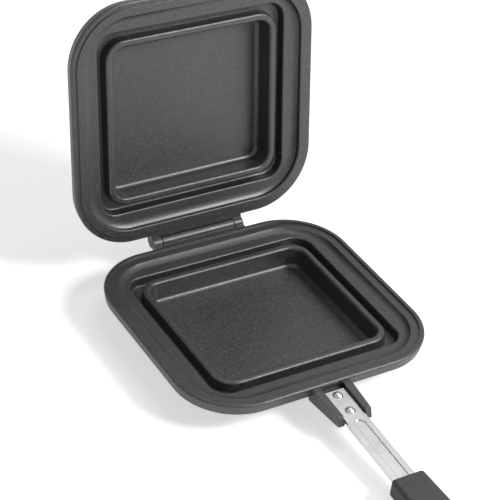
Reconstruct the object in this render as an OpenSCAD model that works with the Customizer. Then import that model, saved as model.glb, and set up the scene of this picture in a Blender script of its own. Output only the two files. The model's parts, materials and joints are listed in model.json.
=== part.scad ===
// Hinged stovetop sandwich press: two cast pans joined by a pin hinge, each with a riveted sheet
// metal stem and a moulded grip, and a wire bail that holds the grips together.
// Frame: origin at the centre of the lower pan's flat base, +X along the hinge pin,
// +Y from the handles to the hinge, +Z up. The lid is drawn open, resting on its stop.

/* [Pans] */
// Width of a pan along the hinge
pan_w = 150; // [130:1:180]
// Depth of a pan from handle side to hinge side
pan_d = 141; // [125:1:170]
// Height of the lower pan from base to rim
pan_h = 20; // [19:0.5:28]
// Radius of the rim's corners
corner_r = 35; // [31:1:40]
// Height of the flange's outer wall
flange_h = 7; // [6:0.5:9]
// Width of the outer lip on top of the rim
lip_w = 2.8; // [2:0.1:4]
// Step between the lip and the land inside it
lip_step = 1; // [0.6:0.1:1.6]
// Width of the whole rim, lip and land
rim_w = 8; // [7:0.1:9]

/* [Cooking faces] */
// Depth of the ledge below the rim plane
ledge_drop = 3.2; // [2.5:0.1:4]
// Distance from the rim's outer edge to the ledge's inner edge
ledge_in = 17.2; // [15:0.2:18.4]
// Corner radius of the ledge's inner edge
ledge_corner_r = 10; // [8:0.5:12]
// Depth of the crust trough below the rim plane
trough_drop = 8.7; // [7:0.1:10]
// Distance from the rim's outer edge to the middle of the crimping ridge
ridge_in = 24; // [23.5:0.5:27]
// Width of the crimping ridge at its top
ridge_w = 4.4; // [4:0.2:6]
// Depth of the ridge's top below the rim plane
ridge_drop = 2.6; // [2:0.1:4]
// Radius of the bend at the middle of the ridge's corners
ridge_corner_r = 9.6; // [8.4:0.2:12]
// Depth of the recess floor below the rim plane
floor_drop = 14.8; // [12:0.1:15.6]

/* [Base] */
// Distance from the rim's outer edge to the base's wall at the bottom
base_in = 16.2; // [15:0.2:19]
// Corner radius of the base at its bottom
base_corner_r = 15; // [12:1:18]
// Radius of the round between the base's wall and its flat
base_round_r = 3.5; // [2:0.5:5]

/* [Hinge] */
// Distance of the pin behind the rim's outer edge
pin_back = 4.6; // [4.4:0.1:7]
// Distance of the pin below the rim plane
pin_drop = 0; // [0:0.1:1]
// Diameter of the hinge pin
pin_d = 3.4; // [3:0.1:4]
// Width of the whole hinge over the lid's ears
hinge_w = 58; // [46:1:70]
// Thickness of each ear
ear_t = 5.5; // [4:0.5:8]
// Wall around the pin in the knuckle and the ears
knuckle_wall = 1.3; // [1.1:0.05:1.5]
// Angle between the rims when the lid rests on its stop
open_angle = 99; // [92:1:108]

/* [Stems and brackets] */
// Depth of the stem's top face below the rim plane at the pan
stem_drop = 4.2; // [3.6:0.1:5]
// Angle at which each stem leaves the rim plane
stem_slope = 3.8; // [2:0.1:4]
// Width of the stem
stem_w = 12.6; // [10:0.2:15]
// Thickness of the stem's sheet
stem_t = 1.5; // [1.2:0.1:2]
// Depth of the stem's folded edges
stem_fold_h = 2.6; // [2.2:0.1:5]
// Length of the stem between the rim and the grip
stem_reach = 70; // [60:1:90]
// Width of the pressed channel in the stem
press_w = 6.4; // [5:0.2:8]
// Depth of the pressed channel
press_depth = 0.7; // [0.4:0.1:0.9]
// Reach of the bracket's wings from the rim
wing_reach = 24; // [22:1:30]
// Height of the wings above the stem's top face
wing_rise = 1.8; // [1:0.1:2.4]
// Thickness of the bracket's floor under the stem
bracket_floor = 3.6; // [3:0.1:5]
// Diameter of the rivets' shanks
rivet_d = 3.2; // [3:0.1:4]
// Diameter of the rivets' heads
rivet_head_d = 5.6; // [5:0.2:7]
// Height of the rivets' heads
rivet_head_h = 1.7; // [1.2:0.1:2]
// Distance of the first rivet from the rim
rivet_first = 6; // [5.5:0.5:8]
// Distance between the two rivets
rivet_gap = 12; // [9:0.5:14]

/* [Grips] */
// Length of the grip
grip_l = 112; // [95:1:130]
// Width of the grip at its start
grip_w = 19.5; // [18:0.5:24]
// Widening of the grip near its middle
grip_swell = 3.5; // [1:0.5:5]
// Thickness of the grip
grip_t = 11; // [10.5:0.1:12]
// Height of the grip's inner face above the stem's top face
grip_rise = 3.6; // [3:0.1:4.2]
// Angle at which the grip leaves the rim plane
grip_slope = 1; // [0:0.1:1.5]
// Radius of the grip's long edges
grip_edge_r = 3.6; // [2.5:0.1:4.5]
// Length of the stem's tang inside the grip
tang_l = 66; // [50:1:80]
// Width of the tang
tang_w = 10; // [8:0.2:11]
// Diameter of the screw that holds the grip
screw_d = 3; // [2.5:0.1:4]
// Diameter of the screw's head
screw_head_d = 5.6; // [5:0.1:7]
// Distance of the screw from the end of the tang
screw_in = 12; // [8:1:20]

/* [Latch] */
// Diameter of the bail's wire
wire_d = 2.4; // [2:0.1:3]
// Distance of the bail's pivot from the grip's end
bail_inset = 9; // [8:0.5:14]
// Depth of the seat that takes the bail's bar
bar_seat = 0.6; // [0.4:0.1:1]
// Radius of the bends in the bail's wire
bail_bend_r = 3.5; // [3:0.1:5]
// Depth of the bail's ends in the grip
bail_tip = 5; // [4:0.5:8]

/* [Fits] */
// Running clearance of a pin or wire in its bore
run_gap = 0.05; // [0.03:0.01:0.1]
// Clearance between pieces that move past each other
side_gap = 0.4; // [0.3:0.05:0.8]
// Clearance of a piece that is fixed in its seat
seat_gap = 0.05; // [0.02:0.01:0.1]

/* [Hidden] */
half_w = pan_w / 2;
half_d = pan_d / 2;
over = 1;

// Rim, measured outwards from the centre of a corner circle
rim_cx = half_w - corner_r;
rim_cy = half_d - corner_r;
lip_r = corner_r - lip_w;
mouth_r = corner_r - rim_w;
tongue_gap = 0.2;
tongue_rise = lip_step - tongue_gap;
rim_edge_r = 1.2;
flange_edge_r = 1.6;
wall_draft = 0.8;
mouth_edge_r = 0.7;
cove_r = 6;
cove_h = ledge_drop - lip_step - mouth_edge_r;
cove_w = sqrt(cove_h * (2 * cove_r - cove_h));
rim_core = 12;

// Ledge, trough, ridge and recess
ledge_cx = half_w - ledge_in - ledge_corner_r;
ledge_cy = half_d - ledge_in - ledge_corner_r;
ledge_edge_r = 0.9;
trough_draft = 0.4;
trough_fillet = 1.5;
ridge_cx = half_w - ridge_in - ridge_corner_r;
ridge_cy = half_d - ridge_in - ridge_corner_r;
ridge_out_r = ridge_corner_r + ridge_w / 2;
ridge_in_r = ridge_corner_r - ridge_w / 2;
ridge_edge_r = 1.5;
ridge_draft = 0.6;
recess_draft = 0.6;
recess_fillet = 2.6;
small_core = 2;

// Base
base_cx = half_w - base_in - base_corner_r;
base_cy = half_d - base_in - base_corner_r;
base_draft = 1.8;
base_top_r = base_corner_r + base_draft;
base_fillet = 1.5;
base_core = 7;

// Hinge
pin_y = half_d + pin_back;
pin_r = pin_d / 2;
pin_bore_r = pin_r + run_gap;
knuckle_r = pin_r + knuckle_wall;
ear_inner = hinge_w / 2 - ear_t;
knuckle_w = 2 * (ear_inner - side_gap);
web_drop = 0.3;
stop_gap = 0.05;
lid_pin = pin_drop + stop_gap;
plate_low = flange_edge_r - flange_h;
plate_y = half_d - lip_w / 2;

// Brackets and stems, measured from the rim's outer edge in the stem's own slope
stem_start = 2;
fold_start = wing_reach + 2;
grip_overlap = 3;
press_start = fold_start - 1;
wing_in = stem_w / 2 + side_gap;
wing_root_t = 4.8;
wing_tip_t = 3.4;
wing_root_h = 8.2;
wing_tip_h = 5.4;
wing_end_cut = 2.4;
wing_root = 3;
weld = 0.6;
floor_root = base_in - base_draft + weld;
rivet_r = rivet_d / 2;
rivet_tail_h = 1;
rivet_tail_r = 2.3;

// Grips, measured from the grip's start in the grip's own slope
stem_fall = stem_drop + stem_reach * sin(stem_slope);
grip_y = -half_d - stem_reach * cos(stem_slope);
grip_drop = stem_fall - grip_rise;
grip_start_r = 2.2;
grip_swell_at = 0.45;
grip_swell_t = 0.6;
grip_fn = 32;
grip_end_w = grip_w + 1.5;
screw_at = tang_l - screw_in;
screw_r = screw_d / 2;
screw_head_r = screw_head_d / 2;
screw_head_h = 1.8;
screw_sunk = 0.8;
screw_tip = 1.6;
screw_l = grip_t - screw_sunk - screw_tip;

// Bail, about its pivot
wire_r = wire_d / 2;
bail_at = grip_l - bail_inset;
elbow_r = wire_r + 0.4;
elbow_x = grip_end_w / 2 + side_gap;
bail_arm_x = elbow_x + elbow_r;
pivot_y = grip_y - bail_at * cos(grip_slope) + grip_t / 2 * sin(grip_slope);
pivot_drop = grip_drop + bail_at * sin(grip_slope) + grip_t / 2 * cos(grip_slope);
face_drop = pivot_drop + grip_t / 2 * cos(grip_slope);
bar_drop = face_drop + wire_r - bar_seat;
bail_l = pivot_drop + stop_gap + bar_drop;
lean_gap = 0.1;
bail_lean = asin((grip_t / 2 + grip_swell_t + wire_r + lean_gap) / bail_l);

pan_color = [0.2, 0.2, 0.205];
steel_color = [0.82, 0.82, 0.83];
grip_color = [0.24, 0.24, 0.25];

// ---- Places --------------------------------------------------------------------------------
// Each pan is drawn with its rim at z = 0 and its outside towards -z.
module on_lower() {
    translate([0, 0, pan_h]) children();
}

module on_lid() {
    translate([0, pin_y, pan_h - pin_drop]) rotate([-open_angle, 0, 0])
        translate([0, -pin_y, lid_pin]) mirror([0, 0, 1]) children();
}

// From the middle of the rim's front edge, along the stem
module on_stem() {
    translate([0, -half_d, -stem_drop]) rotate([stem_slope, 0, 0]) children();
}

// From the middle of the grip's front end, at its inner face
module on_grip() {
    translate([0, grip_y, -grip_drop]) rotate([grip_slope, 0, 0]) children();
}

// ---- Sections and sweeps -------------------------------------------------------------------
// What a round of radius r takes off a corner at (x, z) of a solid to the left and below
module corner_cut(x, z, r) {
    difference() {
        translate([x - r, z - r]) square(r + over);
        translate([x - r, z - r]) circle(r);
    }
}

// The same for a corner at (x, z) of a solid to the left and above
module low_corner_cut(x, z, r) {
    translate([0, 2 * z]) mirror([0, 1]) corner_cut(x, z, r);
}

// A block that joins the sides of a sweep, from low to high; its cut corners stay inside
// a sweep whose section starts at core
module sweep_core(cx, cy, core, low, high) {
    reach = 1.5 * core;
    translate([0, 0, low]) linear_extrude(high - low)
        polygon([for (s = [[1, 1], [-1, 1], [-1, -1], [1, -1]], k = [0, 1])
            let (first = s[0] * s[1] > 0 ? k == 0 : k == 1)
            first ? [s[0] * (cx + reach), s[1] * cy] : [s[0] * cx, s[1] * (cy + reach)]]);
}

// A section swept around a rectangle with round corners centred at (cx, cy)
module sweep(cx, cy) {
    for (mx = [0, 1], my = [0, 1])
        mirror([mx, 0, 0]) mirror([0, my, 0]) translate([cx, cy, 0])
            rotate_extrude(angle = 90) children();
    for (mx = [0, 1])
        mirror([mx, 0, 0]) translate([cx, cy, 0]) rotate([90, 0, 0])
            linear_extrude(2 * cy) children();
    for (my = [0, 1])
        mirror([0, my, 0]) translate([-cx, cy, 0]) rotate([90, 0, 90])
            linear_extrude(2 * cx) children();
}

// ---- Pans ----------------------------------------------------------------------------------
// land is the height of the rim's inner land over the lip
module flange(land) {
    land_edge = land > 0 ? lip_r - side_gap : lip_r;
    sweep(rim_cx, rim_cy) difference() {
        polygon([[rim_core, -flange_h], [corner_r - wall_draft, -flange_h],
            [corner_r - wall_draft, flange_edge_r - flange_h], [corner_r, -rim_edge_r],
            [corner_r, 0], [land_edge, 0], [land_edge, land], [rim_core, land]]);
        corner_cut(corner_r, 0, rim_edge_r);
        low_corner_cut(corner_r - wall_draft, -flange_h, flange_edge_r);
    }
    sweep_core(rim_cx, rim_cy, rim_core, -flange_h, land);
}

// The mouth inside the rim, down a cove to the ledge
module mouth_cut(land) {
    edge = mouth_r + mouth_edge_r;
    sweep(rim_cx, rim_cy) {
        difference() {
            polygon([[rim_core, land + over], [edge, land + over], [edge, land - mouth_edge_r],
                [mouth_r, land - mouth_edge_r], [mouth_r, cove_h - ledge_drop],
                [mouth_r - cove_w, -ledge_drop], [rim_core, -ledge_drop]]);
            translate([edge, land - mouth_edge_r]) circle(mouth_edge_r);
        }
        intersection() {
            translate([mouth_r - cove_w, cove_r - ledge_drop]) circle(cove_r);
            translate([mouth_r - cove_w, -ledge_drop]) square([cove_w, cove_h]);
        }
    }
    sweep_core(rim_cx, rim_cy, rim_core, -ledge_drop, land + over);
}

module base_block() {
    sweep(base_cx, base_cy) difference() {
        polygon([[base_core, -pan_h], [base_corner_r, -pan_h],
            [base_corner_r, base_round_r - pan_h], [base_top_r, -flange_h - base_fillet],
            [base_top_r + base_fillet, -flange_h - base_fillet],
            [base_top_r + base_fillet, over - flange_h], [base_core, over - flange_h]]);
        low_corner_cut(base_corner_r, -pan_h, base_round_r);
        translate([base_top_r + base_fillet, -flange_h - base_fillet]) circle(base_fillet);
    }
    sweep_core(base_cx, base_cy, base_core, -pan_h, over - flange_h);
}

module trough_cut() {
    edge = ledge_corner_r + ledge_edge_r;
    foot = ledge_corner_r - trough_draft;
    sweep(ledge_cx, ledge_cy) {
        difference() {
            polygon([[small_core, over - ledge_drop], [edge, over - ledge_drop],
                [edge, -ledge_drop - ledge_edge_r], [ledge_corner_r, -ledge_drop - ledge_edge_r],
                [foot, trough_fillet - trough_drop], [foot - trough_fillet, -trough_drop],
                [small_core, -trough_drop]]);
            translate([edge, -ledge_drop - ledge_edge_r]) circle(ledge_edge_r);
        }
        intersection() {
            translate([foot - trough_fillet, trough_fillet - trough_drop]) circle(trough_fillet);
            translate([foot - trough_fillet, -trough_drop]) square(trough_fillet);
        }
    }
    sweep_core(ledge_cx, ledge_cy, small_core, -trough_drop, over - ledge_drop);
}

module ridge_block() {
    foot = ridge_out_r + ridge_draft;
    sweep(ridge_cx, ridge_cy) difference() {
        polygon([[small_core, -trough_drop - over], [foot, -trough_drop - over],
            [foot, -trough_drop], [ridge_out_r, -ridge_drop - ridge_edge_r],
            [ridge_out_r, -ridge_drop], [small_core, -ridge_drop]]);
        corner_cut(ridge_out_r, -ridge_drop, ridge_edge_r);
    }
    sweep_core(ridge_cx, ridge_cy, small_core, -trough_drop - over, -ridge_drop);
}

module recess_cut() {
    edge = ridge_in_r + ridge_edge_r;
    foot = ridge_in_r - recess_draft;
    sweep(ridge_cx, ridge_cy) {
        difference() {
            polygon([[small_core, over - ridge_drop], [edge, over - ridge_drop],
                [edge, -ridge_drop - ridge_edge_r], [ridge_in_r, -ridge_drop - ridge_edge_r],
                [foot, recess_fillet - floor_drop], [foot - recess_fillet, -floor_drop],
                [small_core, -floor_drop]]);
            translate([edge, -ridge_drop - ridge_edge_r]) circle(ridge_edge_r);
        }
        intersection() {
            translate([foot - recess_fillet, recess_fillet - floor_drop]) circle(recess_fillet);
            translate([foot - recess_fillet, -floor_drop]) square(recess_fillet);
        }
    }
    sweep_core(ridge_cx, ridge_cy, small_core, -floor_drop, over - ridge_drop);
}

module pan_shell(land) {
    difference() {
        union() {
            difference() {
                union() {
                    flange(land);
                    base_block();
                }
                mouth_cut(land);
                trough_cut();
            }
            ridge_block();
        }
        recess_cut();
    }
}

// ---- Brackets ------------------------------------------------------------------------------
// A channel for the stem with a wing on either side, drilled for the rivets
module bracket_wing() {
    intersection() {
        translate([wing_in, 0, 0]) rotate([90, 0, 90]) linear_extrude(wing_root_t)
            polygon([[wing_root, wing_rise], [wing_end_cut - wing_reach, wing_rise],
                [-wing_reach, wing_rise - 2 * wing_end_cut],
                [wing_end_cut - wing_reach, wing_rise - wing_tip_h],
                [wing_root, wing_rise - wing_root_h]]);
        translate([0, 0, -wing_root_h]) linear_extrude(2 * wing_root_h)
            polygon([[wing_in - over, wing_root + over], [wing_in + wing_root_t, wing_root + over],
                [wing_in + wing_root_t, 0], [wing_in + wing_tip_t, -wing_reach],
                [wing_in - over, -wing_reach]]);
    }
}

module bracket() {
    floor_w = 2 * (wing_in + over);
    floor_l = wing_reach - wing_end_cut;
    on_stem() difference() {
        union() {
            for (mx = [0, 1]) mirror([mx, 0, 0]) bracket_wing();
            translate([-floor_w / 2, -floor_l, -stem_t - bracket_floor])
                cube([floor_w, floor_l + floor_root, bracket_floor]);
        }
        rivet_places() translate([0, 0, -stem_t - bracket_floor - over])
            cylinder(r = rivet_r + seat_gap, h = bracket_floor + 2 * over);
    }
}

module rivet_places() {
    for (i = [0, 1]) translate([0, -rivet_first - i * rivet_gap, 0]) children();
}

// ---- Hinge ---------------------------------------------------------------------------------
module along_pin(x, length) {
    translate([x, pin_y, 0]) rotate([90, 0, 90]) linear_extrude(length) children();
}

// The lower pan's barrel and its web, with a flat pad on either side for the lid's toes
module knuckle() {
    difference() {
        union() {
            along_pin(-knuckle_w / 2, knuckle_w) translate([0, -pin_drop]) circle(knuckle_r);
            translate([-knuckle_w / 2, plate_y, -pin_drop - knuckle_r])
                cube([knuckle_w, pin_y - plate_y, pin_drop + knuckle_r - web_drop]);
        }
        along_pin(-hinge_w / 2, hinge_w) translate([0, -pin_drop]) circle(pin_bore_r);
    }
    translate([-hinge_w / 2, plate_y, plate_low])
        cube([hinge_w, half_d - plate_y, -plate_low - web_drop]);
}

// Ears and the plate between them, in the lid's own frame, where the pin lies above the rim.
// Each ear has a square foot whose end is flat against the lower pan's pad when the lid is open.
module ears() {
    for (x = [-hinge_w / 2, ear_inner]) difference() {
        along_pin(x, ear_t) {
            translate([0, lid_pin]) circle(knuckle_r);
            translate([0, lid_pin]) rotate(90 - open_angle) translate([0, -knuckle_r])
                square([knuckle_r, knuckle_r + pin_back - stop_gap]);
            polygon([[plate_y - pin_y, plate_low], [0, plate_low],
                [knuckle_r, lid_pin - knuckle_r], [knuckle_r, lid_pin],
                [0, lid_pin], [-pin_back, 0], [plate_y - pin_y, 0]]);
        }
        along_pin(x - over, ear_t + 2 * over) translate([0, lid_pin]) circle(pin_bore_r);
    }
    along_pin(-ear_inner - over, 2 * (ear_inner + over)) difference() {
        translate([plate_y - pin_y, plate_low]) square([pin_y - plate_y, -plate_low]);
        translate([0, lid_pin]) circle(knuckle_r + side_gap);
    }
}

// ---- Sub-parts -----------------------------------------------------------------------------
module lower_pan() {
    color(pan_color) on_lower() {
        pan_shell(-lip_step);
        knuckle();
        bracket();
    }
}

module upper_pan() {
    color(pan_color) on_lid() {
        pan_shell(tongue_rise);
        ears();
        bracket();
    }
}

module hinge_pin() {
    color(steel_color) on_lower() translate([-hinge_w / 2, pin_y, -pin_drop])
        rotate([0, 90, 0]) cylinder(r = pin_r, h = hinge_w);
}

module press_plan(w, last) {
    translate([0, -press_start - w / 2]) circle(w / 2);
    translate([-w / 2, -last]) square([w, last - press_start - w / 2]);
}

// A flat strap at the bracket, folded down at its edges past the bracket, with a pressed
// channel, and a narrower tang that runs into the grip
module stem() {
    last = stem_reach + grip_overlap;
    on_stem() difference() {
        union() {
            translate([-stem_w / 2, -last, -stem_t]) cube([stem_w, last - stem_start, stem_t]);
            translate([0, -fold_start, 0]) rotate([90, 0, 0]) linear_extrude(last - fold_start)
                difference() {
                    translate([-stem_w / 2, -stem_fold_h]) square([stem_w, stem_fold_h]);
                    translate([stem_t - stem_w / 2, -stem_fold_h - over])
                        square([stem_w - 2 * stem_t, stem_fold_h + over - stem_t]);
                }
            translate([0, 0, -stem_t - press_depth]) linear_extrude(press_depth + over / 2)
                press_plan(press_w + stem_t, last);
        }
        translate([0, 0, -press_depth]) linear_extrude(press_depth + over)
            press_plan(press_w, last + over);
        rivet_places() translate([0, 0, -stem_t - over])
            cylinder(r = rivet_r + seat_gap, h = stem_t + 2 * over);
    }
    on_grip() difference() {
        translate([-tang_w / 2, -tang_l, -grip_rise - press_depth - stem_t])
            cube([tang_w, tang_l, stem_t]);
        screw_place() cylinder(r = screw_r + seat_gap, h = grip_t);
    }
}

module rivets() {
    grip_through = stem_t + bracket_floor;
    dome_r = (pow(rivet_head_d / 2, 2) + pow(rivet_head_h, 2)) / (2 * rivet_head_h);
    on_stem() rivet_places() rotate_extrude() {
        intersection() {
            translate([0, rivet_head_h - dome_r]) circle(dome_r);
            square([rivet_head_d, rivet_head_h + over]);
        }
        translate([0, -grip_through]) square([rivet_r, grip_through + over / 2]);
        translate([0, -grip_through - rivet_tail_h]) square([rivet_tail_r, rivet_tail_h]);
    }
}

module screw_place() {
    translate([0, -screw_at, -grip_t]) children();
}

// The moulded block before its pockets: two small corners at the stem, a swell and a round end
module grip_block() {
    mid = grip_l * grip_swell_at;
    hull() for (sx = [-1, 1]) {
        for (z = [-grip_start_r, grip_start_r - grip_t])
            translate([sx * (grip_w / 2 - grip_start_r), -grip_start_r, z])
                sphere(grip_start_r, $fn = grip_fn);
        for (z = [-grip_edge_r, grip_edge_r - grip_t - grip_swell_t])
            translate([sx * ((grip_w + grip_swell) / 2 - grip_edge_r), -mid, z])
                sphere(grip_edge_r, $fn = grip_fn);
        for (z = [-grip_edge_r, grip_edge_r - grip_t])
            translate([sx * (grip_end_w / 2 - grip_edge_r), grip_edge_r - grip_l, z])
                sphere(grip_edge_r, $fn = grip_fn);
    }
}

module grip_body() {
    mouth_w = stem_w + 2 * seat_gap;
    stem_h = max(stem_fold_h, stem_t + press_depth);
    mouth_h = stem_h + 2 * seat_gap + grip_overlap * sin(stem_slope - grip_slope);
    slot_w = tang_w + 2 * seat_gap;
    slot_h = stem_t + 2 * seat_gap;
    difference() {
        grip_block();
        translate([-mouth_w / 2, -grip_overlap - side_gap, seat_gap - grip_rise - mouth_h])
            cube([mouth_w, grip_overlap + side_gap + over, mouth_h]);
        translate([-slot_w / 2, -tang_l - side_gap, seat_gap - grip_rise - press_depth - slot_h])
            cube([slot_w, tang_l + side_gap, slot_h]);
        screw_place() {
            translate([0, 0, screw_sunk])
                cylinder(r = screw_r + seat_gap, h = screw_l + seat_gap);
            translate([0, 0, -over])
                cylinder(r = screw_head_r + seat_gap, h = over + screw_sunk + screw_head_h);
        }
    }
}

module grip_screw() {
    on_grip() screw_place() difference() {
        union() {
            translate([0, 0, screw_sunk]) cylinder(r = screw_head_r, h = screw_head_h);
            translate([0, 0, screw_sunk]) cylinder(r = screw_r, h = screw_l);
        }
        for (a = [0, 90]) rotate([0, 0, a])
            translate([-screw_head_r / 2, -screw_sunk / 2, screw_sunk - over])
                cube([screw_head_r, screw_sunk, over + screw_head_h / 2]);
    }
}

// The lower grip has the seat for the bail's bar, across its outer face
module lower_grip() {
    color(grip_color) on_lower() difference() {
        on_grip() grip_body();
        translate([0, pivot_y, -bar_drop]) rotate([0, 90, 0])
            cylinder(r = wire_r + seat_gap, h = 2 * grip_w, center = true);
    }
}

module bail_place() {
    on_grip() translate([0, -bail_at, -grip_t / 2]) children();
}

module upper_grip() {
    color(grip_color) on_lid() difference() {
        on_grip() grip_body();
        bail_place() for (mx = [0, 1]) mirror([mx, 0, 0])
            translate([grip_end_w / 2 - bail_tip - side_gap, 0, 0]) rotate([0, 90, 0])
                cylinder(r = wire_r + run_gap, h = bail_tip + grip_swell);
    }
}

// Half of the bail: an end in the grip, a bend, an arm, a bend and half of the bar
module half_bail() {
    tip_x = grip_end_w / 2 - bail_tip;
    translate([tip_x, 0, 0]) rotate([0, 90, 0]) cylinder(r = wire_r, h = elbow_x - tip_x);
    translate([elbow_x, elbow_r, 0]) rotate([0, 0, -90]) rotate_extrude(angle = 90)
        translate([elbow_r, 0]) circle(wire_r);
    translate([bail_arm_x, elbow_r, 0]) rotate([-90, 0, 0])
        cylinder(r = wire_r, h = bail_l - elbow_r - bail_bend_r);
    translate([bail_arm_x - bail_bend_r, bail_l - bail_bend_r, 0]) rotate_extrude(angle = 90)
        translate([bail_bend_r, 0]) circle(wire_r);
    translate([0, bail_l, 0]) rotate([0, 90, 0]) cylinder(r = wire_r, h = bail_arm_x - bail_bend_r);
}

module latch_bail() {
    color(steel_color) on_lid() bail_place() rotate([-bail_lean, 0, 0])
        for (mx = [0, 1]) mirror([mx, 0, 0]) half_bail();
}

module lower_stem() { color(steel_color) on_lower() stem(); }
module upper_stem() { color(steel_color) on_lid() stem(); }
module lower_stem_rivets() { color(steel_color) on_lower() rivets(); }
module upper_stem_rivets() { color(steel_color) on_lid() rivets(); }
module lower_grip_screw() { color(steel_color) on_lower() grip_screw(); }
module upper_grip_screw() { color(steel_color) on_lid() grip_screw(); }

lower_pan();
upper_pan();
hinge_pin();
lower_stem();
upper_stem();
lower_stem_rivets();
upper_stem_rivets();
lower_grip();
upper_grip();
lower_grip_screw();
upper_grip_screw();
latch_bail();
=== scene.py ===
import json
import math

import bpy
from mathutils import Matrix, Vector

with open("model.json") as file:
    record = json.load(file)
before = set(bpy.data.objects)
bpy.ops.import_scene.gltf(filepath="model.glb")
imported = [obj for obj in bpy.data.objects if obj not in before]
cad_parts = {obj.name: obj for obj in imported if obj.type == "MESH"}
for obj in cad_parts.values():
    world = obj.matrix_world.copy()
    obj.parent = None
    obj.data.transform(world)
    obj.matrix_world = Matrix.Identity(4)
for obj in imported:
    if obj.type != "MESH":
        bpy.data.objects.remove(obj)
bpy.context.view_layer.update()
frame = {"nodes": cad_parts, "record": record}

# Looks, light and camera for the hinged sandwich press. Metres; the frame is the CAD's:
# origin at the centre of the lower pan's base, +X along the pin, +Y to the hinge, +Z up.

MM = 0.001
WHITE = (1, 1, 1, 1)


# ---- Node helpers --------------------------------------------------------------------------
def add(tree, kind, at, **settings):
    """A node of one kind at a place in the tree, with its settings."""
    made = tree.nodes.new("ShaderNode" + kind)
    made.location = at
    for name, value in settings.items():
        setattr(made, name, value)
    return made


def feed(socket, value):
    """Gives an input socket a value of its own, or links it where the value is a socket."""
    if isinstance(value, bpy.types.NodeSocket):
        socket.id_data.links.new(value, socket)
    else:
        socket.default_value = value


def fill(node, **values):
    """Feeds a node's inputs by name; returns the node."""
    for name, value in values.items():
        feed(node.inputs[name.replace("_", " ")], value)
    return node


def maths(tree, operation, at, *values):
    """A Math node of two or three values; returns its result."""
    node = add(tree, "Math", at, operation=operation)
    for socket, value in zip(node.inputs, values):
        feed(socket, value)
    return node.outputs[0]


def spread(tree, value, low, high, to_low, to_high, at):
    """Maps a value from one range to another, held within it; returns the result."""
    node = add(tree, "MapRange", at)
    fill(node, Value=value, From_Min=low, From_Max=high, To_Min=to_low, To_Max=to_high)
    return node.outputs["Result"]


def noise_mask(tree, low, high, at, least=0.0, **values):
    """A noise; what lies from low to high in it becomes a mask from the least value to 1."""
    x, y = at
    noise = fill(add(tree, "TexNoise", at), **values)
    return spread(tree, noise.outputs["Fac"], low, high, least, 1.0, (x + 250, y))


def mix_colour(tree, mask, first, second, at):
    """Mixes two colours by a mask; returns the colour."""
    node = add(tree, "Mix", at, data_type="RGBA")
    factor, colour_a, colour_b = node.inputs[0], node.inputs[6], node.inputs[7]
    for socket, value in ((factor, mask), (colour_a, first), (colour_b, second)):
        feed(socket, value)
    return node.outputs[2]


def object_place(tree, at):
    """The point on the piece that is shaded, in the piece's own metres."""
    return add(tree, "TexCoord", at).outputs["Object"]


def new_group(name, inputs, outputs):
    """An empty node group with named sockets; returns its tree, its input and output nodes."""
    tree = bpy.data.node_groups.new(name, "ShaderNodeTree")
    for label, default in inputs.items():
        socket = tree.interface.new_socket(name=label, in_out="INPUT",
                                           socket_type="NodeSocketFloat")
        socket.default_value = default
    for label, kind in outputs.items():
        tree.interface.new_socket(name=label, in_out="OUTPUT", socket_type="NodeSocket" + kind)
    given, out = tree.nodes.new("NodeGroupInput"), tree.nodes.new("NodeGroupOutput")
    given.location, out.location = (-900, 0), (600, 0)
    return tree, given, out


def place_group(material, group, at, **values):
    """Puts a group in a material with its own values."""
    return fill(add(material.node_tree, "Group", at, node_tree=group), **values)


# ---- Shared effects ------------------------------------------------------------------------
def build_coating_grain():
    """Fine grains and flakes over a slow unevenness, as a sprayed and baked coating has."""
    tree, given, out = new_group(
        "Coating grain", {"Grain size": 0.6 * MM, "Cloud size": 30 * MM},
        {"Grain": "Float", "Flake": "Float", "Cloud": "Float", "Height": "Float"})
    place = object_place(tree, (-900, 300))
    per_grain = maths(tree, "DIVIDE", (-650, 100), 1.0, given.outputs["Grain size"])
    per_cloud = maths(tree, "DIVIDE", (-650, -200), 1.0, given.outputs["Cloud size"])
    grains = noise_mask(tree, 0.36, 0.66, (-400, 200), Vector=place, Scale=per_grain,
                        Detail=2.0, Roughness=0.6)
    flakes = noise_mask(tree, 0.56, 0.72, (-400, 450), Vector=place, Scale=per_grain,
                        Detail=0.0)
    clouds = noise_mask(tree, 0.3, 0.7, (-400, -200), Vector=place, Scale=per_cloud,
                        Detail=3.0, Roughness=0.55)
    cloud_lift = 0.3
    fill(out, Grain=grains, Flake=flakes, Cloud=clouds,
         Height=maths(tree, "MULTIPLY_ADD", (200, -100), clouds, cloud_lift, grains))
    return tree


def build_edge_rub():
    """Edges: a normal that rounds them, and a mask where handling has rubbed them."""
    tree, given, out = new_group(
        "Edge rub", {"Edge radius": 0.5 * MM, "Patchiness": 90.0},
        {"Rub": "Float", "Normal": "Vector"})
    rounded = add(tree, "Bevel", (-650, 100), samples=6)
    fill(rounded, Radius=given.outputs["Edge radius"])
    plain = add(tree, "NewGeometry", (-650, -100))
    aligned = add(tree, "VectorMath", (-400, 0), operation="DOT_PRODUCT")
    feed(aligned.inputs[0], rounded.outputs["Normal"])
    feed(aligned.inputs[1], plain.outputs["Normal"])
    edge = spread(tree, aligned.outputs["Value"], 0.99, 0.8, 0.0, 1.0, (-150, 0))
    patch = noise_mask(tree, 0.35, 0.65, (-400, -300), least=0.25,
                       Vector=object_place(tree, (-650, -350)),
                       Scale=given.outputs["Patchiness"], Detail=3.0)
    fill(out, Rub=maths(tree, "MULTIPLY", (200, -100), edge, patch),
         Normal=rounded.outputs["Normal"])
    return tree


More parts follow.
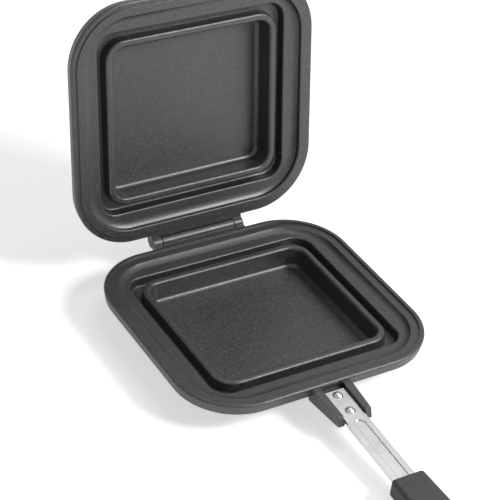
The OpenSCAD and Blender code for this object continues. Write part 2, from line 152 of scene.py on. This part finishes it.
def build_drawn_lines():
    """Hairlines that run along a drawn or rolled piece: they vary across X, hardly along."""
    tree, given, out = new_group(
        "Drawn lines", {"Line width": 0.15 * MM, "Line length": 25 * MM},
        {"Lines": "Float", "Smudge": "Float"})
    smudge_rate = 110.0
    place = object_place(tree, (-900, 300))
    across = maths(tree, "DIVIDE", (-650, 100), 1.0, given.outputs["Line width"])
    along = maths(tree, "DIVIDE", (-650, -100), 1.0, given.outputs["Line length"])
    rates = fill(add(tree, "CombineXYZ", (-400, 0)), X=across, Y=along, Z=along)
    stretched = add(tree, "VectorMath", (-200, 100), operation="MULTIPLY")
    feed(stretched.inputs[0], place)
    feed(stretched.inputs[1], rates.outputs[0])
    lines = noise_mask(tree, 0.3, 0.7, (0, 100), Vector=stretched.outputs[0], Scale=1.0,
                       Detail=2.0, Roughness=0.6)
    smudges = noise_mask(tree, 0.35, 0.65, (0, -200), Vector=place, Scale=smudge_rate,
                         Detail=4.0)
    fill(out, Lines=lines, Smudge=smudges)
    return tree


GRAIN = build_coating_grain()
RUB = build_edge_rub()
LINES = build_drawn_lines()


# ---- Finishes ------------------------------------------------------------------------------
def new_finish(name):
    """A material with only its output and a Principled shader; returns it and its shader."""
    material = bpy.data.materials.new(name)
    material.use_nodes = True
    tree = material.node_tree
    tree.nodes.clear()
    shader = add(tree, "BsdfPrincipled", (600, 0))
    fill(add(tree, "OutputMaterial", (900, 0)), Surface=shader.outputs["BSDF"])
    return material, shader


def raise_surface(tree, height, under, strength, distance):
    """A bump over a normal that is already rounded; returns the normal."""
    bump = fill(add(tree, "Bump", (350, -350)), Strength=strength, Distance=distance,
                Height=height, Normal=under)
    return bump.outputs["Normal"]


def rub_edges(tree, rub, share, colour, rubbed, at):
    """A colour that turns to a rubbed one on worn edges, by a share at most."""
    mask = maths(tree, "MULTIPLY", (-200, -100), rub.outputs["Rub"], share)
    return mix_colour(tree, mask, colour, rubbed, at)


def pan_coating():
    """Charcoal non-stick coating: satin, grained and flecked, lighter on rubbed edges."""
    material, shader = new_finish("Charcoal non-stick coating")
    tree = material.node_tree
    haze_share, flake_metal, grain_rough = 0.25, 0.09, 0.08
    grain = place_group(material, GRAIN, (-500, 200), Grain_size=0.7 * MM,
                        Cloud_size=38 * MM)
    rub = place_group(material, RUB, (-500, -200), Edge_radius=0.45 * MM)
    speckled = mix_colour(tree, grain.outputs["Grain"], (0.004, 0.0036, 0.0036, 1),
                          (0.05, 0.049, 0.049, 1), (-200, 300))
    haze = maths(tree, "MULTIPLY", (-200, 100), grain.outputs["Cloud"], haze_share)
    clouded = mix_colour(tree, haze, speckled, (0.03, 0.022, 0.023, 1), (50, 300))
    worn = rub_edges(tree, rub, 0.4, clouded, (0.1, 0.098, 0.098, 1), (300, 200))
    flecked = mix_colour(tree, grain.outputs["Flake"], worn, (0.07, 0.07, 0.07, 1), (450, 300))
    metal = maths(tree, "MULTIPLY", (300, 450), grain.outputs["Flake"], flake_metal)
    satin = spread(tree, grain.outputs["Cloud"], 0, 1, 0.33, 0.4, (50, 0))
    rough = maths(tree, "MULTIPLY_ADD", (300, 0), grain.outputs["Grain"], grain_rough, satin)
    raised = raise_surface(tree, grain.outputs["Height"], rub.outputs["Normal"], strength=0.4,
                           distance=0.06 * MM)
    fill(shader, Base_Color=flecked, Metallic=metal, Roughness=rough, IOR=1.75, Normal=raised)
    return material


def bright_metal(name, dull, bright, smooth, rough, line_width, edge_radius, depth):
    """Plain metal with hairlines along it, light smudges and softened edges."""
    material, shader = new_finish(name)
    tree = material.node_tree
    lines = place_group(material, LINES, (-500, 200), Line_width=line_width)
    rub = place_group(material, RUB, (-500, -200), Edge_radius=edge_radius)
    lined = mix_colour(tree, lines.outputs["Lines"], dull, bright, (-200, 300))
    worn = rub_edges(tree, rub, 0.5, lined, bright, (100, 300))
    satin = spread(tree, lines.outputs["Smudge"], 0, 1, smooth, rough, (-200, 100))
    raised = raise_surface(tree, lines.outputs["Lines"], rub.outputs["Normal"], strength=0.3,
                           distance=depth)
    fill(shader, Base_Color=worn, Metallic=1.0, Roughness=satin, Normal=raised)
    return material


def grip_moulding():
    """Matte dark moulding with a fine spark-eroded texture and rubbed edges."""
    material, shader = new_finish("Matte grip moulding")
    tree = material.node_tree
    grain = place_group(material, GRAIN, (-500, 200), Grain_size=0.4 * MM,
                        Cloud_size=22 * MM)
    rub = place_group(material, RUB, (-500, -200), Edge_radius=0.8 * MM)
    flecked = mix_colour(tree, grain.outputs["Grain"], (0.044, 0.0455, 0.05, 1),
                         (0.078, 0.08, 0.086, 1), (-200, 300))
    worn = rub_edges(tree, rub, 0.35, flecked, (0.11, 0.112, 0.118, 1), (100, 300))
    satin = spread(tree, grain.outputs["Cloud"], 0, 1, 0.5, 0.64, (100, 0))
    raised = raise_surface(tree, grain.outputs["Height"], rub.outputs["Normal"], strength=0.5,
                           distance=0.06 * MM)
    fill(shader, Base_Color=worn, Roughness=satin, Normal=raised)
    return material


FINISHES = {
    "coated_pan": pan_coating(),
    "steel_pin": bright_metal(
        "Blackened steel", dull=(0.05, 0.05, 0.052, 1), bright=(0.1, 0.1, 0.104, 1),
        smooth=0.34, rough=0.46, line_width=0.2 * MM, edge_radius=0.3 * MM, depth=0.01 * MM),
    "stem_sheet": bright_metal(
        "Pressed stainless sheet", dull=(0.62, 0.625, 0.64, 1), bright=(0.72, 0.72, 0.73, 1),
        smooth=0.2, rough=0.24, line_width=0.12 * MM, edge_radius=0.4 * MM, depth=0.001 * MM),
    "rivet_metal": bright_metal(
        "Rivet metal", dull=(0.58, 0.57, 0.56, 1), bright=(0.72, 0.71, 0.7, 1),
        smooth=0.3, rough=0.36, line_width=0.4 * MM, edge_radius=0.15 * MM, depth=0.002 * MM),
    "grip_plastic": grip_moulding(),
    "screw_steel": bright_metal(
        "Screw steel", dull=(0.48, 0.48, 0.49, 1), bright=(0.64, 0.64, 0.65, 1),
        smooth=0.24, rough=0.38, line_width=0.3 * MM, edge_radius=0.25 * MM, depth=0.008 * MM),
    "bail_wire": bright_metal(
        "Drawn wire", dull=(0.6, 0.6, 0.61, 1), bright=(0.78, 0.78, 0.79, 1),
        smooth=0.16, rough=0.28, line_width=0.12 * MM, edge_radius=0.2 * MM, depth=0.006 * MM),
}

for part in frame["record"]["subparts"]:
    shown = frame["nodes"][part["node"]]
    shown.data.materials.clear()
    shown.data.materials.append(FINISHES[part["material_slot"]])


# ---- Floor and surroundings ----------------------------------------------------------------
def seen_or_reflected(tree, reflected, at):
    """1 for rays from the camera or through glass, a given share for reflections, else 0."""
    x, y = at
    rays = add(tree, "LightPath", at)
    mirrored = maths(tree, "MULTIPLY", (x + 100, y - 200), rays.outputs["Is Glossy Ray"],
                     reflected)
    seen = maths(tree, "MAXIMUM", (x + 200, y), rays.outputs["Is Camera Ray"], mirrored)
    return maths(tree, "MAXIMUM", (x + 400, y), seen, rays.outputs["Is Transmission Ray"])


def lay_floor(half, below, near, far, near_lift, far_lift):
    """A wide pale floor; its own lift, stronger far from the lamps, keeps it white."""
    mesh = bpy.data.meshes.new("floor")
    corners = ((-1, -1), (1, -1), (1, 1), (-1, 1))
    mesh.from_pydata([(x * half, y * half, -below) for x, y in corners], [], [(0, 1, 2, 3)])
    floor = bpy.data.objects.new("floor", mesh)
    bpy.context.collection.objects.link(floor)
    paper, shader = new_finish("Pale floor")
    tree = paper.node_tree
    away = add(tree, "VectorMath", (-700, -400), operation="LENGTH")
    feed(away.inputs[0], object_place(tree, (-900, -400)))
    lift = spread(tree, away.outputs["Value"], near, far, near_lift, far_lift, (-300, -400))
    glow = maths(tree, "MULTIPLY", (100, 0), seen_or_reflected(tree, 1.0, (-600, 0)), lift)
    fill(shader, Base_Color=(0.86, 0.86, 0.86, 1), Roughness=0.9, Specular_IOR_Level=0.1,
         Emission_Color=WHITE, Emission_Strength=glow)
    mesh.materials.append(paper)


def set_world(plain, seen, reflected):
    """Even white light; the camera sees it brighter, and reflections a share of that."""
    world = bpy.data.worlds.new("Studio")
    bpy.context.scene.world = world
    world.use_nodes = True
    tree = world.node_tree
    tree.nodes.clear()
    strength = spread(tree, seen_or_reflected(tree, reflected, (-500, 0)), 0, 1, plain, seen,
                      (100, 0))
    sky = fill(add(tree, "Background", (300, 0)), Color=WHITE, Strength=strength)
    fill(add(tree, "OutputWorld", (600, 0)), Surface=sky.outputs[0])


def hang_light(name, place, aim, size, watts):
    """A square area light at a place, turned to its aim."""
    lamp = bpy.data.lights.new(name, "AREA")
    lamp.shape, lamp.size, lamp.energy = "SQUARE", size, watts
    lit = bpy.data.objects.new(name, lamp)
    lit.location = place
    lit.rotation_euler = (Vector(aim) - Vector(place)).to_track_quat("-Z", "Y").to_euler()
    bpy.context.collection.objects.link(lit)


lay_floor(half=4.0, below=0.1 * MM, near=0.35, far=1.5, near_lift=0.58, far_lift=0.86)
set_world(plain=0.15, seen=1.0, reflected=0.5)
hang_light("key", (0.78, -0.86, 0.98), aim=(0, 0, 0.06), size=0.42, watts=18)
hang_light("fill", (-0.9, -0.9, 0.8), aim=(0, 0, 0.06), size=1.0, watts=0.6)
hang_light("top", (0.5, 0.3, 1.4), aim=(0, 0, 0.05), size=0.8, watts=4)


# ---- Camera --------------------------------------------------------------------------------
def set_camera(azimuth, elevation, roll, distance, target, focal_px, image_px):
    """A camera that looks at the target (mm) from an azimuth and elevation (degrees)."""
    az, el, lean = (math.radians(v) for v in (azimuth, elevation, roll))
    back = Vector((math.sin(az) * math.cos(el), -math.cos(az) * math.cos(el), math.sin(el)))
    right = Vector((math.cos(az), math.sin(az), 0.0))
    up = back.cross(right)
    turned_right = math.cos(lean) * right + math.sin(lean) * up
    turned_up = math.cos(lean) * up - math.sin(lean) * right
    lens = bpy.data.cameras.new("photo camera")
    lens.sensor_width = 36.0
    lens.lens = focal_px / image_px * lens.sensor_width
    lens.clip_start = 0.05
    seen_from = bpy.data.objects.new("photo camera", lens)
    turn = Matrix((turned_right, turned_up, back)).transposed().to_4x4()
    seen_from.matrix_world = Matrix.Translation((Vector(target) + back * distance) * MM) @ turn
    bpy.context.collection.objects.link(seen_from)
    bpy.context.scene.camera = seen_from


set_camera(azimuth=-33.741, elevation=35.181, roll=6.139, distance=965.396,
           target=(-3.786, 13.376, 49.548), focal_px=1795.177, image_px=500)
bpy.context.scene.view_settings.view_transform = "Standard"
